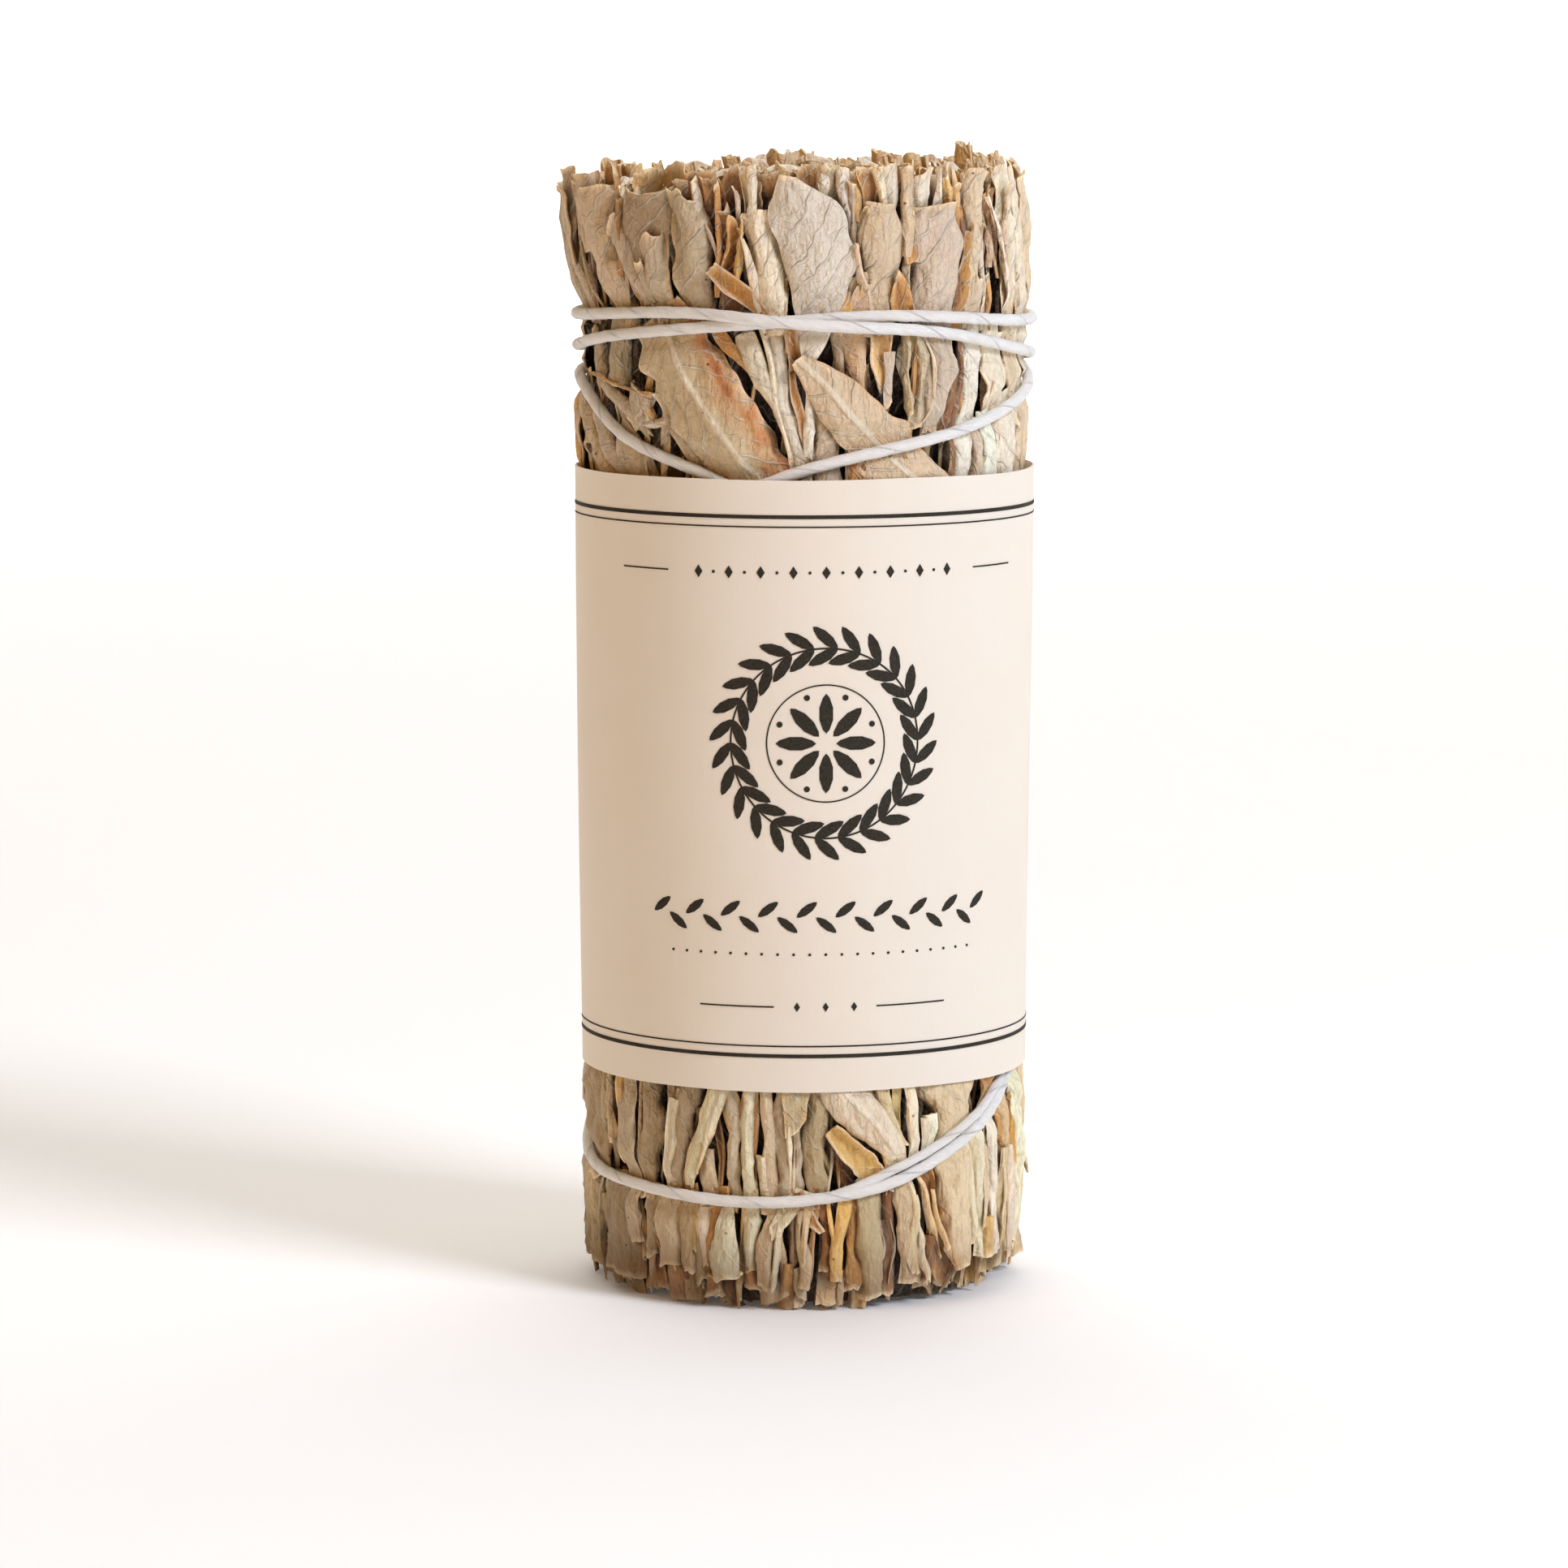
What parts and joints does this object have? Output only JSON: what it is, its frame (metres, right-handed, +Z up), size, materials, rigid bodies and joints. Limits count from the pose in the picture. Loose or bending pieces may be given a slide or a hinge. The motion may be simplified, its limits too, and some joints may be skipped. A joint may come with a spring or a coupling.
{
  "type": "tied bundle of dried sage",
  "caption": "Stout upright bundle of dried white sage sprigs cut flat at both ends, bound with wound cotton thread, with a blank paper band round the middle.",
  "frame": {"origin": "on the surface it stands on, at the cut end of the stem in the middle of the bundle, on the axis of the paper band", "axes": "+Z up along the bundle, -Y towards the front, +Y towards the knot and the glued flap at the back, +X to the right seen from the front"},
  "size_m": [0.0434, 0.046, 0.1044],
  "materials": {
    "sage_leaf": "dried leaf, matt and felted, grey-beige outside, ochre and brown in the folds",
    "cotton_thread": "plied white cotton, matt, slightly hairy",
    "label_paper": "uncoated cream paper, matt, with a faint fibre"
  },
  "bodies": {
    "root": {"outer_sprig_01": "sage_leaf", "outer_sprig_02": "sage_leaf", "outer_sprig_03": "sage_leaf", "outer_sprig_04": "sage_leaf", "outer_sprig_05": "sage_leaf", "outer_sprig_06": "sage_leaf", "outer_sprig_07": "sage_leaf", "outer_sprig_08": "sage_leaf", "outer_sprig_09": "sage_leaf", "outer_sprig_10": "sage_leaf", "outer_sprig_11": "sage_leaf", "outer_sprig_12": "sage_leaf", "middle_sprig_01": "sage_leaf", "middle_sprig_02": "sage_leaf", "middle_sprig_03": "sage_leaf", "middle_sprig_04": "sage_leaf", "middle_sprig_05": "sage_leaf", "centre_sprig": "sage_leaf", "thread": "cotton_thread", "paper_band": "label_paper"}
  },
  "joints": []
}
